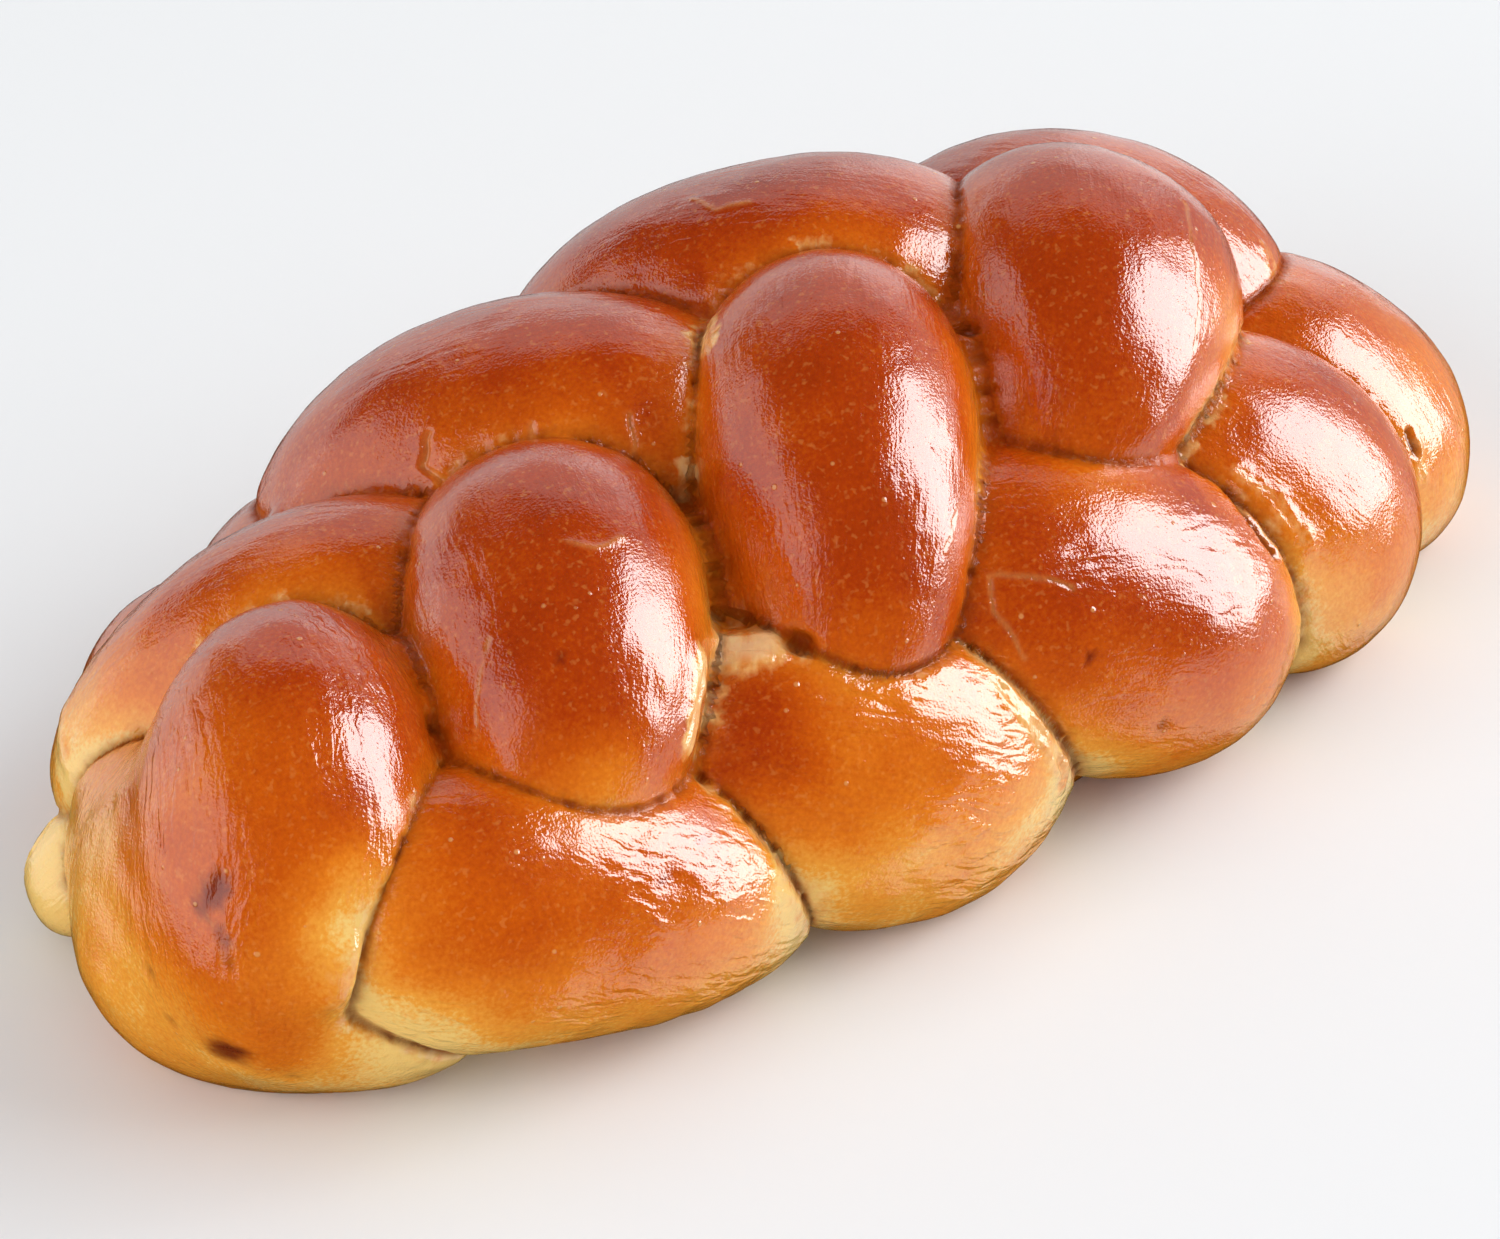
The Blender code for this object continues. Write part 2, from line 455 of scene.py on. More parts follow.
# %% The near end flows together
FILL, HOLLOW = 6.5, 12  # mm, how far a hollow is lifted, and how wide it is
ROUND_END = (-160, -145)  # mm along the loaf, where the lifting fades in
kin = np.array([BLENDED.get(name) == 0 for name in NAMES])
in_kin = kin[owner]
kin_away = np.sort(away[:, kin], 1)
hollow = in_kin * np.exp(-(kin_away[:, 1] / HOLLOW) ** 2) * np.clip(reach / 5, 0, 1)
set_points(skin, points)
skin.normal_update()
normals = np.array([v.normal for v in skin.verts])
tail = smooth_step(points[:, 0], *ROUND_END)  # the very end keeps its round outline
points = points + normals * (FILL * hollow * fixed * tail)[:, None]
points = relax(points, edges, 0.95 * hollow * fixed, 180)
points = relax(points, edges, 0.5 * np.clip(reach / 2 - 0.5, 0, 1) * fixed, 6)
print("hollow points:", int((hollow > 0.2).sum()))

# %% [markdown]
# As a loaf rises in the oven its strands pull apart, and the edge of a lobe tears along
# its neighbour. That happens on one side of a seam more than on the other, so a table
# says how far each edge tore. A seam that isn't named stayed nearly closed.

# %% How far each edge tore
TORN = {  # (lobe, its neighbour): how far the lobe's own edge tore there
    ("back_high_1", "front_high_0"): 0.6, ("front_high_0", "back_high_1"): 0.25,
    ("back_high_2", "front_high_1"): 0.55, ("back_high_3", "front_high_2"): 0.62,
    ("back_high_2", "front_high_2"): 0.6, ("front_high_2", "back_high_2"): 0.45,
    ("front_low_1", "front_high_2"): 0.55, ("front_low_1", "front_high_1"): 0.6,
    ("front_high_1", "front_low_1"): 0.9, ("front_high_1", "front_low_0"): 0.3,
    ("front_low_0", "front_high_1"): 0.35, ("front_low_0", "front_low_1"): 0.75,
    ("front_low_1", "front_low_2"): 1.0, ("front_low_2", "front_low_1"): 0.25,
    ("front_low_2", "front_low_3"): 0.8, ("front_low_3", "front_low_2"): 0.6,
    ("front_low_3", "far_end"): 0.55, ("far_end", "front_low_3"): 0.3,
    ("front_low_3", "front_high_3"): 0.6, ("front_high_3", "front_low_3"): 0.85,
    ("back_high_4", "front_high_3"): 0.5, ("far_end", "front_high_3"): 0.6,
    ("near_end", "front_low_0"): 0.5, ("front_low_0", "near_end"): 0.3,
    ("front_high_0", "front_low_0"): 0.55, ("front_low_0", "front_high_0"): 0.35,
    ("near_end_nub", "near_end"): 0.45, ("near_end_nub", "near_end_top"): 0.45,
    ("back_high_1", "near_end_top"): 0.5,
}
QUIET_SEAM = 0.12
PAIR = np.full((len(NAMES), len(NAMES)), QUIET_SEAM)
for (lobe, neighbour), strength in TORN.items():
    PAIR[NAMES.index(lobe), NAMES.index(neighbour)] = strength
rag = PAIR[owner, across]
print("points beside an edge that tore:", int(((rag > 0.5) & (reach < 3)).sum()))

# %% [markdown]
# No two bulges of dough are alike. Slow noise swells and dents them, and folds run
# across each seam, because the skin is gathered where the strand is squeezed. The pinch is
# the seam's own groove, and the lip is a torn edge that stands up beside it. Terraces are
# steps in stretched dough, and a tick is a nick across a torn edge. Each is first worked
# out as a push in or out, in mm, and they are added up later.

# %% Swells, folds and pinched seams
def wave(co, size, shift=0.0):
    """Perlin noise of about this size in mm, from -1 to 1."""
    return np.array([noise.noise(point) for point in (co / size + shift).tolist()])


line_noise = wave(line_at, 5.0)  # changes along a seam, not away from it
folds = wave(line_at, 4.5, 20) * np.exp(-reach / 4) * (rag - 0.2).clip(0)
terraces = np.sin(2.6 * reach + 2.5 * line_noise) * np.exp(-reach / 4) * (rag - 0.3).clip(0)
tick = np.exp(-(wave(line_at, 17, 33) / 0.04) ** 2) * np.exp(-reach / 2.6) * (rag > 0.45)
swell = 1.5 * wave(points, 40) + 0.25 * wave(points, 16, 5)
pinch = -np.exp(-reach / 1.4) * (0.35 + 0.5 * rag + 0.3 * line_noise)
pinch -= 0.7 * np.exp(-(reach / 0.6) ** 2)
lip = 0.9 * np.exp(-((reach - 2.4 - 1.2 * line_noise) / 1.1) ** 2) * (rag - 0.45).clip(0)
print("deepest pinch, mm:", round(float(pinch.min()), 2))

# %% [markdown]
# A crack is a thin groove with a low lip on either side, and a deep one is painted dark inside, as
# the shade in its groove.
# A patch is dough that stretched before it tore, so it stands up a little and has fibres
# along the way it was pulled. Coarse noise shifts each point first, which makes all these
# edges ragged.

# %% Cracks, torn patches and spots pressed into the skin
# the inside of a deep crack is darkened as painted shade
DEEP_CRACK = 1.3  # mm, from here on a crack is a dark cavity, not a pale scar
crack, scar, painted_crack_shade, frayed, ridges, stain = (np.zeros(len(points)) for _ in range(6))
jitter = np.stack([wave(points, 3.5, shift) for shift in (1, 2, 3)], 1)
for (_, half, deep, _), spots in zip(CRACKS, CRACK_AT):
    gap = distance_to(points + 0.6 * jitter, spots, 8.0)
    if deep > DEEP_CRACK:
        painted_crack_shade = np.maximum(painted_crack_shade, 0.9 * np.exp(-(gap / half) ** 2))
    else:
        scar = np.maximum(scar, np.exp(-(gap / (half + 0.2)) ** 2))
    crack -= deep * np.exp(-(gap / half) ** 2)
    crack += min(0.35 * abs(deep), 0.2) * np.exp(-((gap - 1.8 * half) / half) ** 2)
for (_, _, _, half, high, how_torn), spots in zip(PATCHES, PATCH_AT):
    gap = distance_to(points + 1.6 * jitter, spots, 3 * half)
    crack += high * np.exp(-(gap / half) ** 4)
    pull = spots[-1] - spots[0]
    pull /= np.linalg.norm(pull)
    along = (points @ pull)[:, None] * pull
    fibres = wave((points - along) / 1.5 + along / 9.0, 1.0, 50)
    ridges = np.where(gap < 1.5 * half, fibres, ridges)
    frayed = np.maximum(frayed, how_torn * np.exp(-(gap / half) ** 4))
for (_, _, _, half, dark), spots in zip(SPOTS, SPOT_AT):
    gap = on_skin(distance_to(points + 1.1 * jitter, spots, 4 * half + 8))
    stain = np.maximum(stain, dark * smooth_step(1.2 * half - gap, -0.3 * half, 0.7 * half))
    crack -= 0.4 * np.exp(-(gap / half) ** 2)
print("cracked, frayed and stained points:",
      [int((field > 0.3).sum()) for field in (scar + painted_crack_shade, frayed, stain)])

# %% [markdown]
# Egg wash is brushed along a strand, and dough wrinkles across it. So the material needs
# to know, for each point, how far along its strand it lies, how far round and how far out.

# %% Coordinates that follow the strand
BEYOND = (-0.3, 1.3)  # a centre line is followed to before its root, 0, and past its tip, 1
ROUND = 28  # mm, a strand's usual radius, which turns an angle into a length
APART = 40  # mm, so that no two strands share a pattern


def strand_coordinates(co, owner):
    """Along the strand, around it and out from it, in metres, for patterns that follow it."""
    out = np.zeros_like(co)
    steps = np.linspace(*BEYOND, 65)
    for group in np.unique(GROUP):
        name = NAMES[int(np.flatnonzero(GROUP == group)[0])]
        mine = np.flatnonzero(GROUP[owner] == group)
        line = np.array([centre_line(LOBES[name], u)[0] - SHIFT for u in steps])
        along = np.gradient(line, axis=0)
        along /= np.linalg.norm(along, axis=1)[:, None]
        gaps = np.linalg.norm(co[mine][:, None] - line[None], axis=2)
        k = gaps.argmin(1)
        lengths = np.concatenate([[0], np.cumsum(np.linalg.norm(np.diff(line, axis=0), axis=1))])
        offset = co[mine] - line[k]
        s = lengths[k] + (offset * along[k]).sum(1)
        up = line - np.array((0, CORE_Y, CORE_Z))
        up -= (up * along).sum(1)[:, None] * along
        up /= np.linalg.norm(up, axis=1)[:, None]
        side = np.cross(up, along)
        x, y = (offset * side[k]).sum(1), (offset * up[k]).sum(1)
        around = np.arctan2(x, y) * ROUND
        out[mine] = np.stack([s, around, gaps.min(1) + APART * group], 1) * MM
    return out


strand = strand_coordinates(points, owner)
print("longest strand, mm:", round(float(np.ptp(strand[:, 0])) / MM))

# %% [markdown]
# Some lobes wrinkled more than others. Where lobes are one piece of dough, anything that
# is given lobe by lobe is evened out across the join between them.

# %% Ruffled lobes
RUFFLED = {"front_high_0": 0.5, "front_low_0": 0.7, "front_low_1": 0.9, "front_low_2": 0.45}
SMOOTH_LOBE = 0.25


def lobe_by_lobe(values, usual):
    """A value for each point from its lobe's, evened out where the dough is one piece."""
    given = np.array([values.get(name, usual) for name in NAMES])[owner]
    return relax(given[:, None], edges, 0.9 * np.clip(hollow * 4, 0, 1), 60)[:, 0]


ruffle = lobe_by_lobe(RUFFLED, SMOOTH_LOBE)
dimple = (0.12 + 0.3 * ruffle) * wave(points, 6.0, 9)
print("dimples, mm:", round(float(dimple.min()), 2), "to", round(float(dimple.max()), 2))

# %% [markdown]
# Now the pushes are added up, and each point moves along its normal. A little relaxing
# beside the seams takes out the saw teeth that such fine detail leaves there.

# %% The skin pushed into shape
set_points(skin, points)
skin.normal_update()
normals = np.array([v.normal for v in skin.verts])
push = swell + pinch + 0.7 * folds + 0.15 * terraces - 0.45 * tick + dimple
push += crack + lip + 0.9 * ridges * frayed
push = relax(push[:, None], edges, np.exp(-reach / 2), 3)[:, 0]
points = points + normals * (push * fixed)[:, None]
points = relax(points, edges, 0.5 * np.exp(-reach / 1.5) * fixed, 2)
points[:, 2] = np.where(on_base, 0.0, np.maximum(points[:, 2], TRAY_GAP))
print("push, mm:", round(push.min(), 2), "to", round(push.max(), 2))

# %% [markdown]
# The tops brown darkest, because they are nearest the oven's roof and face it, and the dough under
# a lobe's edge stays pale. Beside every seam, even one that stayed closed, the crust is lightened a
# little more, as painted light against the shade in the crease. Touches then darken or lighten one
# place each. Some do so as a hot spot of the oven or a thick stroke of egg does. Others are painted
# light: they lighten edges and low sides that lie in shade or carry a highlight, and darken where a
# shine is too strong.

# %% How brown the crust baked, with painted light
set_points(skin, points)
skin.normal_update()
normals = np.array([v.normal for v in skin.verts])
height = points[:, 2]
TOUCHES_WITH_PAINTED_LIGHT = [  # lobe, along, degrees round, radius in mm, change of browning
    ("front_low_1", 0.24, 20, 14, 0.3), ("front_low_1", 0.50, -30, 14, -0.2),
    # the second touch here lightens the tip of the first low front lobe: pale torn dough, and
    # partly a painted highlight
    ("front_low_1", 0.84, -10, 12, -0.25), ("front_low_0", 0.82, 30, 8, -0.38),
    ("front_high_0", 0.73, 37, 9, -0.38), ("front_high_0", 0.64, 38, 6, -0.2),
    ("front_high_0", 0.72, -30, 16, 0.12), ("front_high_0", 0.93, 25, 15, 0.3),
    ("near_end", 0.82, -50, 12, -0.3), ("near_end", 0.78, -10, 12, -0.25),
    # the second touch here darkens the third high back lobe as painted shade, against a shine there
    # that is too strong
    ("front_low_0", 0.18, -40, 12, -0.25), ("back_high_3", 0.50, 40, 20, 0.15),
    ("front_low_2", 0.50, -60, 14, -0.15), ("front_low_2", 0.45, 60, 14, -0.2),
    # the first touch here lightens the low side of the last low front lobe, partly as painted light
    # from the right
    ("front_low_3", 0.62, -15, 16, -0.12), ("front_high_3", 0.56, 55, 9, -0.3),
    # on this line and the next: a small flap lightened partly as a painted highlight, then the
    # right edges of the second and third high front lobes lightened as painted light in the shade
    # between lobes
    ("front_high_1", 0.86, 10, 7, -0.25), ("front_high_1", 0.48, 62, 12, -0.3),
    ("front_high_1", 0.30, 75, 10, -0.25), ("front_high_2", 0.45, 66, 12, -0.3),
    ("back_high_1", 0.80, 35, 20, -0.28), ("front_high_2", 0.60, 62, 8, -0.25),
    # the far end's low side is lightened as painted light from the lamps at the right
    ("far_end", 0.60, 0, 18, -0.2),
]
# lobe by lobe browning; the small lightening of the far end and of the last low front lobe is
# painted light from the right
BAKED_WITH_PAINTED_LIGHT = {"front_low_0": -0.1, "front_low_1": -0.14, "near_end": -0.06, "near_end_nub": -0.7,
         "front_low_2": 0.02, "front_low_3": -0.03, "far_end": -0.08, "near_end_top": -0.16,
         "back_high_1": -0.06}
PALEST = 0.17  # the least browning of any lobe but the nub
offset = lobe_by_lobe(BAKED_WITH_PAINTED_LIGHT, 0.0)
offset -= 0.22 * smooth_step(-points[:, 0], 115, 155)  # the near end baked less
bake_with_painted_light = 0.29 + 0.35 * smooth_step(height, 2, 60) + 0.16 * normals[:, 2].clip(-0.3, 1)
bake_with_painted_light += offset + 0.09 * wave(points, 30, 3)
for name, along, degrees, radius, change in TOUCHES_WITH_PAINTED_LIGHT:
    gap = distance_to(points, on_lobe(name, along, degrees)[None], 3.0 * radius)
    own = GROUP[owner] == GROUP[NAMES.index(name)]
    bake_with_painted_light += change * np.exp(-(gap / radius) ** 2) * own
bake_with_painted_light = np.maximum(bake_with_painted_light, np.where(owner == NAMES.index("near_end_nub"), 0.0, PALEST))
# pale dough under a torn edge, and near every seam also a lightening that is painted light against
# the shade in the crease
under = np.exp(-seam / 7) * (0.2 + 0.8 * rag)
bake_with_painted_light -= 0.62 * under
print("browning:", round(float(bake_with_painted_light.min()), 2), "to", round(float(bake_with_painted_light.max()), 2))

# %% [markdown]
# What the material needs is kept on the points as attributes: the browning with its painted light,
# where dough tore open, the painted shade along the bottom of each seam, in nicks and inside deep
# cracks, and the scars and stains.

# %% What the oven left on each point, and painted shade
torn = np.exp(-np.abs(reach - 1.4) / 1.1) * smooth_step(rag + 0.5 * line_noise, 0.45, 0.95)
torn = np.maximum(torn, frayed)
# painted shade: the bottom of every seam, the nicks across torn edges and the inside of deep cracks
# are darkened, where shade falls
painted_crease_shade = np.maximum(np.exp(-(reach / 0.7) ** 2), 0.3 * tick)
painted_crease_shade = np.maximum(painted_crease_shade, painted_crack_shade)
painted_crease_shade = (1.5 * relax(painted_crease_shade[:, None], edges, np.full(len(painted_crease_shade), 0.8), 3)[:, 0]).clip(0, 1)
fields = {"bake_with_painted_light": bake_with_painted_light, "torn": torn, "painted_crease_shade": painted_crease_shade, "reach": reach, "scar": scar,
          "stain": stain, "ruffle": ruffle}
for key, values in fields.items():
    print(key, round(float(values.min()), 2), "to", round(float(values.max()), 2))

# %% [markdown]
# The finished points become one closed mesh in metres. The tray's side is one flat face, and the
# body is the one the imported loaf has.

# %% The loaf as one object
def make_object(name, bm):
    """A new object in the scene, from a bmesh."""
    mesh = bpy.data.meshes.new(name)
    bm.to_mesh(mesh)
    thing = bpy.data.objects.new(name, mesh)
    bpy.context.scene.collection.objects.link(thing)
    return thing


set_points(skin, points * MM)
rim = [edge for edge in skin.edges if edge.is_boundary]
bmesh.ops.holes_fill(skin, edges=rim, sides=0)
skin.normal_update()
crust = make_object("loaf_crust", skin)
skin.free()
crust.data.shade_smooth()
for key, values in fields.items():
    crust.data.attributes.new(key, "FLOAT", "POINT").data.foreach_set("value", values)
data = crust.data.attributes.new("strand", "FLOAT_VECTOR", "POINT").data
data.foreach_set("vector", strand.ravel())
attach(crust, "root")
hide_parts("loaf")
crust.data.calc_loop_triangles()
print("crust:", len(crust.data.loop_triangles), "triangles")

# %% [markdown]
# Egg-washed crust is wheat crumb, dried and browned by the oven, under a thin clear film
# of cooked egg put on with a brush. The colour comes from the browning and the shine from
# the film. So the film is the shader's coat, smooth and glossy, and the crumb below it is
# rough and hardly shines. First come a function for colours and one that adds a node.

# %% Colours and one node helper
def hex_colour(text):
    """sRGB hex to linear."""
    parts = [int(text[i:i + 2], 16) / 255 for i in (1, 3, 5)]
    return [c / 12.92 if c <= 0.04045 else ((c + 0.055) / 1.055) ** 2.4 for c in parts] + [1.0]


def add(tree, kind, inputs=None, stops=None, **settings):
    """Adds one node: its settings, its ramp stops, and its inputs as values or sockets."""
    node = tree.nodes.new("ShaderNode" + kind)
    for key, value in settings.items():
        setattr(node, key, value)
    for i, (place, colour) in enumerate(stops or ()):
        ramp = node.color_ramp.elements
        stop = ramp[i] if i < 2 else ramp.new(place)
        stop.position, stop.color = place, colour
    for key, value in (inputs or {}).items():
        if isinstance(value, bpy.types.NodeSocket):
            tree.links.new(value, node.inputs[key])
        else:
            node.inputs[key].default_value = value
    return node


def new_material(name):
    """A new material, its node tree and its one shader."""
    material = bpy.data.materials.new(name)
    material.use_nodes = True
    tree = material.node_tree
    return material, tree, tree.nodes["Principled BSDF"]


print("golden crust as linear:", [round(c, 3) for c in hex_colour("#fba93c")])

# %% Egg-washed crust: what it reads
material, tree, shader = new_material("egg_washed_crust")
crust.data.materials.append(material)
here = add(tree, "TexCoord").outputs["Object"]
felt = {key: add(tree, "Attribute", attribute_name=key).outputs["Fac"] for key in fields}
strand_at = add(tree, "Attribute", attribute_name="strand").outputs["Vector"]
COLOUR_A, COLOUR_B, COLOUR_OUT = 6, 7, 2  # the Mix node's colour sockets


def painted(tree, under, over, amount):
    """One colour laid over another, as thick as the amount says."""
    inputs = {0: amount, COLOUR_A: under, COLOUR_B: over}
    return add(tree, "Mix", inputs, data_type="RGBA").outputs[COLOUR_OUT]


print("it reads", len(felt), "fields, the place and the strand")

# %% [markdown]
# Browning runs from pale gold through orange to red-brown. The field from the points, which also
# holds the painted light beside the seams and at some touches, is joined by broad clouds 16 mm
# across and by the crust's grain, which is just under 1 mm.
# Where the brush left a pinhole in the wash, a pale gold fleck shows.

# %% Browning
mottle = add(tree, "TexNoise", {"Vector": here, "Scale": 1 / (16 * MM), "Detail": 4.0})
grain = add(tree, "TexNoise", {"Vector": here, "Scale": 1 / (0.9 * MM), "Detail": 2.0})
tone = add(tree, "Math", {0: mottle.outputs[0], 1: 0.36, 2: -0.18}, operation="MULTIPLY_ADD")
fleck = add(tree, "Math", {0: grain.outputs[0], 1: 0.28, 2: -0.14}, operation="MULTIPLY_ADD")
level = add(tree, "Math", {0: felt["bake_with_painted_light"], 1: tone.outputs[0]}, operation="ADD")
level = add(tree, "Math", {0: level.outputs[0], 1: fleck.outputs[0]}, operation="ADD")
CRUST_COLOURS = ((0.0, "#ffd27a"), (0.12, "#fba93c"), (0.32, "#ea7f17"), (0.55, "#d05b05"),
                 (0.75, "#b23c02"), (1.0, "#8c2402"))
browning = add(tree, "ValToRGB", {"Fac": level.outputs[0]},
               stops=[(place, hex_colour(text)) for place, text in CRUST_COLOURS])
pinholes = add(tree, "TexNoise", {"Vector": here, "Scale": 1 / (1.3 * MM), "Detail": 1.0})
flecked = add(tree, "MapRange", {"Value": pinholes.outputs[0], "From Min": 0.6, "From Max": 0.74,
                                 "To Min": 0.0, "To Max": 0.2})
colour = painted(tree, browning.outputs[0], hex_colour("#f3a450"), flecked.outputs[0])
print("crust colours:", len(CRUST_COLOURS))

# %% [markdown]
# Torn dough opened while the crust around it browned, so it is pale and stringy, with ragged edges,
# and a flap that was pulled wide open is nearly white, partly as a painted highlight. Over it come
# the marks: scars a little paler than the crust, dark red scorched spots, and painted shade at the
# bottoms of seams and inside deep cracks.

# %% Torn dough, scars, spots and painted shade in seams
pulled = add(tree, "Mapping", {"Vector": strand_at, "Scale": (1.0, 0.35, 1.0)})
crumb = add(tree, "TexNoise", {"Vector": pulled.outputs[0], "Scale": 1 / (1.8 * MM), "Detail": 4.0})
edge = add(tree, "TexNoise", {"Vector": here, "Scale": 1 / (2.2 * MM), "Detail": 3.0})
ragged = add(tree, "Math", {0: edge.outputs[0], 1: 0.8, 2: -0.4}, operation="MULTIPLY_ADD")
ragged = add(tree, "Math", {0: felt["torn"], 1: ragged.outputs[0]}, operation="ADD")
open_crumb = add(tree, "MapRange", {"Value": ragged.outputs[0], "From Min": 0.2, "From Max": 0.6})
dough = add(tree, "ValToRGB", {"Fac": crumb.outputs[0]},
            stops=[(0.3, hex_colour("#ea8c2c")), (0.68, hex_colour("#ffce85"))])
colour = painted(tree, colour, dough.outputs[0], open_crumb.outputs[0])
# a flap pulled wide open: pale dough, lightened further as a painted highlight
pale_flap_and_highlight = add(tree, "MapRange", {"Value": felt["torn"], "From Min": 0.7, "From Max": 1.0,
                              "To Min": 0.0, "To Max": 0.6})
colour = painted(tree, colour, hex_colour("#ffdba6"), pale_flap_and_highlight.outputs[0])
# the last mark is painted shade in seams, nicks and deep cracks
MARKS = {"scar": (0.3, "#f0b266"), "stain": (0.9, "#6a140c"), "painted_crease_shade": (0.85, "#7a2c06")}
for key, (thick, text) in MARKS.items():
    mark = add(tree, "Math", {0: felt[key], 1: thick}, operation="MULTIPLY")
    colour = painted(tree, colour, hex_colour(text), mark.outputs[0])
print("marks over the browning:", ", ".join(MARKS))

# %% [markdown]
# Blisters are tiny bubbles of egg, pale and about 1 mm across. The crust is divided into
# cells 4 mm wide, and about one cell in three holds a bubble.

# %% Blisters
CELL = 4.2  # mm
cells = add(tree, "TexVoronoi", {"Vector": here, "Scale": 1 / (CELL * MM)})
chosen = add(tree, "SeparateColor", {0: cells.outputs["Color"]})
size = add(tree, "MapRange", {"Value": chosen.outputs[0], "From Min": 0.62, "From Max": 1.0,
                              "To Min": 0.0, "To Max": 0.17})
bubble = add(tree, "Math", {0: size.outputs[0], 1: cells.outputs["Distance"]},
             operation="SUBTRACT")
bubble = add(tree, "MapRange", {"Value": bubble.outputs[0], "From Min": 0.0, "From Max": 0.06})
pale = add(tree, "Math", {0: bubble.outputs[0], 1: 0.5}, operation="MULTIPLY")
colour = painted(tree, colour, hex_colour("#f0b068"), pale.outputs[0])
print("blisters in cells of", CELL, "mm")

# %% [markdown]
# The wash has its own relief, which breaks up what it mirrors: fine brush strokes along
# the strand, slow ripples 9 mm wide, and a grain like fine sand. On the ruffled lobes
# there are deeper puckers, where the dough wrinkled as it rose. It is patchy, as the brush
# held more or less egg. Each layer is one bump on top of the one before.

# %% Relief of the wash
stretch = add(tree, "Mapping", {"Vector": strand_at, "Scale": (0.22, 1.0, 1.0)})
strokes = add(tree, "TexNoise", {"Vector": stretch.outputs[0], "Scale": 1 / (1.3 * MM),
                                 "Detail": 2.0, "Distortion": 0.4})
gathers = add(tree, "Mapping", {"Vector": strand_at, "Scale": (0.5, 1.0, 1.0)})
puckers = add(tree, "TexNoise", {"Vector": gathers.outputs[0], "Scale": 1 / (3.4 * MM),
                                 "Detail": 1.5, "Distortion": 0.8})
ripples = add(tree, "TexNoise", {"Vector": here, "Scale": 1 / (9.0 * MM), "Detail": 1.0})
sand = add(tree, "TexNoise", {"Vector": here, "Scale": 1 / (0.55 * MM), "Detail": 1.0})
clouds = add(tree, "TexNoise", {"Vector": here, "Scale": 1 / (20 * MM), "Detail": 1.0})
patchy = add(tree, "MapRange", {"Value": clouds.outputs[0], "From Min": 0.38, "From Max": 0.62,
                                "To Min": 0.3, "To Max": 1.0})
worked = add(tree, "Math", {0: felt["ruffle"], 1: patchy.outputs[0]}, operation="MULTIPLY")
LAYERS = (  # how strong, how high in mm, and the pattern
    (patchy.outputs[0], 0.16, strokes), (worked.outputs[0], 1.1, puckers),
    (patchy.outputs[0], 0.6, ripples), (0.5, 0.25, bubble), (0.9, 0.1, sand),
    (open_crumb.outputs[0], 0.4, crumb),
)
relief = {}
for strong, high, pattern in LAYERS:
    relief |= {"Strength": strong, "Distance": high * MM, "Height": pattern.outputs[0]}
    relief["Normal"] = add(tree, "Bump", relief).outputs[0]
print("relief:", len(LAYERS), "layers")

# %% [markdown]
# The coat ends at the bottom of a seam, where no brush reaches, and is thinner on torn
# dough. A film of egg has an index near 1.5. Here it is 2.2, because with soft dim panels
# a lower one left the crust too matt. The crumb's own shine is nearly off.

# %% The coat of egg
brushed = add(tree, "MapRange", {"Value": felt["reach"], "From Min": 0.2, "From Max": 1.6})
dull = add(tree, "MapRange", {"Value": open_crumb.outputs[0], "To Min": 1.0, "To Max": 0.85})
wash = add(tree, "Math", {0: brushed.outputs[0], 1: dull.outputs[0]}, operation="MULTIPLY")
rough = add(tree, "MapRange", {"Value": open_crumb.outputs[0], "To Min": 0.45, "To Max": 0.6})
for socket, value in {"Base Color": colour, "Roughness": rough.outputs[0],
                      "Normal": relief["Normal"], "Coat Weight": wash.outputs[0],
                      "Coat Normal": relief["Normal"]}.items():
    tree.links.new(value, shader.inputs[socket])
for socket, value in {"Coat Roughness": 0.1, "Coat IOR": 2.2, "IOR": 1.45,
                      "Specular IOR Level": 0.04, "Subsurface Weight": 0.12,
                      "Subsurface Scale": 4 * MM}.items():
    shader.inputs[socket].default_value = value
print("egg-washed crust:", len(tree.nodes), "nodes")

# %% [markdown]
# The stage is a wide sheet of pale matt card in a plain studio, so that nothing takes the eye off
# the loaf. It isn't part of the loaf.

# %% Floor
FLOOR_HALF = 3.0  # m, from its middle to its edge
sheet = bmesh.new()
bmesh.ops.create_grid(sheet, x_segments=1, y_segments=1, size=FLOOR_HALF)
floor = make_object("floor", sheet)
sheet.free()
material, tree, shader = new_material("white_card")
shader.inputs["Base Color"].default_value = hex_colour("#eaecee")
shader.inputs["Roughness"].default_value = 0.9
shader.inputs["Specular IOR Level"].default_value = 0.1
floor.data.materials.append(material)
print("floor:", 2 * FLOOR_HALF, "m wide")

# %% [markdown]
# Egg wash shows the lamps themselves, so their shape matters more than their power. Six
# panels only shine: a tall bright one at the front right gives the bright patches, a broad
# dim one at the left gives the soft sheen, one behind and one below the right edge rim the
# low sides, and two weak ones touch the tops and the far end. Three large lamps only
# light, so the crust's colour can be set apart from its shine.

# %% Studio lights
AIM = Vector((0.0, 0.0, 0.05))  # m, the middle of the loaf
SHINING = {  # towards the panel, then its distance, width and height in m, and its radiance
    "key_shine": ((0.83, -0.47, 0.33), 1.6, 1.05, 1.8, 5.0),
    "left_shine": ((-0.88, 0.46, 0.11), 1.6, 2.8, 2.2, 0.62),
    "floor_shine": ((0.64, -0.45, -0.62), 1.6, 2.4, 1.3, 0.5),
    "rim_shine": ((0.32, 0.94, -0.08), 1.6, 3.2, 1.2, 0.65),
    "back_shine": ((0.65, 0.75, 0.6), 1.9, 2.4, 1.5, 0.4),
    "right_shine": ((0.95, 0.3, 0.05), 1.6, 1.6, 1.6, 0.35),
}
LIGHTING = {  # the same, for the lamps that light
    "key_light": ((0.6, -0.55, 0.6), 3.2, 2.4, 2.6, 2.6),
    "left_light": ((-0.85, -0.1, 0.4), 3.2, 2.4, 2.4, 2.9),
    "right_light": ((0.9, -0.1, 0.28), 3.2, 2.0, 2.0, 4.2),
}
ROOM = 0.52  # how bright the white room is


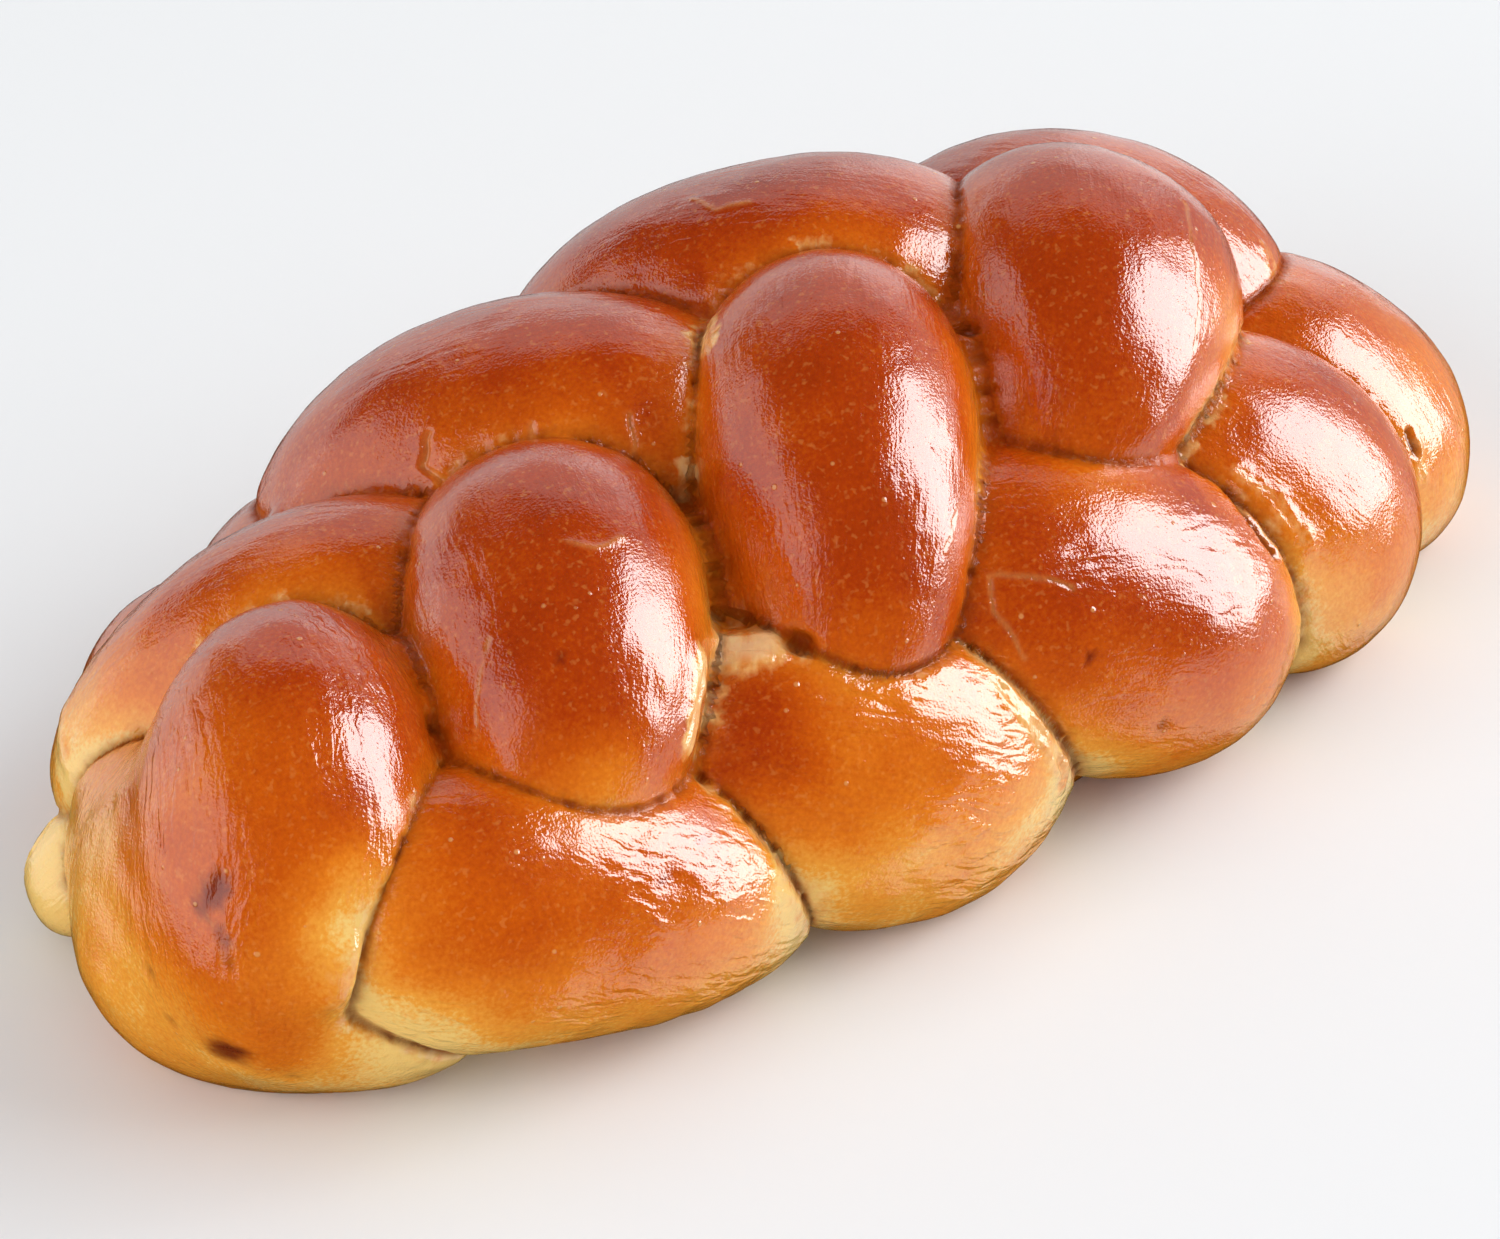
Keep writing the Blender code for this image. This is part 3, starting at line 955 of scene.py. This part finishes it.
def softbox(name, toward, distance, wide, tall, radiance, shine):
    """A rectangular lamp that looks at the loaf; it lights it, or only shows as a shine."""
    lamp = bpy.data.lights.new(name, "AREA")
    lamp.shape = "RECTANGLE"
    lamp.size, lamp.size_y = wide, tall
    lamp.energy = radiance * math.pi * wide * tall
    thing = bpy.data.objects.new(name, lamp)
    bpy.context.scene.collection.objects.link(thing)
    way = Vector(toward).normalized()
    thing.location = AIM + way * distance
    thing.rotation_euler = way.to_track_quat("Z", "Y").to_euler()
    thing.visible_camera = False
    thing.visible_glossy = shine
    thing.visible_diffuse = not shine


for name, lamp in SHINING.items():
    softbox(name, *lamp, shine=True)
for name, lamp in LIGHTING.items():
    softbox(name, *lamp, shine=False)
print(len(SHINING), "panels that shine,", len(LIGHTING), "lamps that light")

# %% [markdown]
# The white room fills the shadows, and the shine is spared from it: the loaf mirrors
# neither the room nor the floor, only the panels.

# %% The room
world = bpy.data.worlds.new("studio")
bpy.context.scene.world = world
world.use_nodes = True
background = world.node_tree.nodes["Background"]
background.inputs["Color"].default_value = hex_colour("#ffffff")
background.inputs["Strength"].default_value = ROOM
world.cycles_visibility.glossy = False
floor.visible_glossy = False
bpy.context.scene.view_settings.view_transform = "Standard"
print("room:", ROOM)

# %% [markdown]
# The camera looks down at the near corner through a long lens, as for a product picture.

# %% Camera
AZIMUTH, ELEVATION = math.radians(-40), math.radians(36)
LENS, DISTANCE = 165.4, 1.3  # mm, and m from the loaf
LOOK_AT = Vector((-0.003, -0.011, 0.035)) - SHIFT * MM
away_from = Vector((math.sin(AZIMUTH) * math.cos(ELEVATION),
                    -math.cos(AZIMUTH) * math.cos(ELEVATION), math.sin(ELEVATION)))
camera = bpy.data.objects.new("camera", bpy.data.cameras.new("camera"))
bpy.context.scene.collection.objects.link(camera)
bpy.context.scene.camera = camera
camera.data.lens = LENS
camera.location = LOOK_AT + away_from * DISTANCE
camera.rotation_euler = away_from.to_track_quat("Z", "Y").to_euler()
print("camera at, m:", [round(c, 3) for c in camera.location])
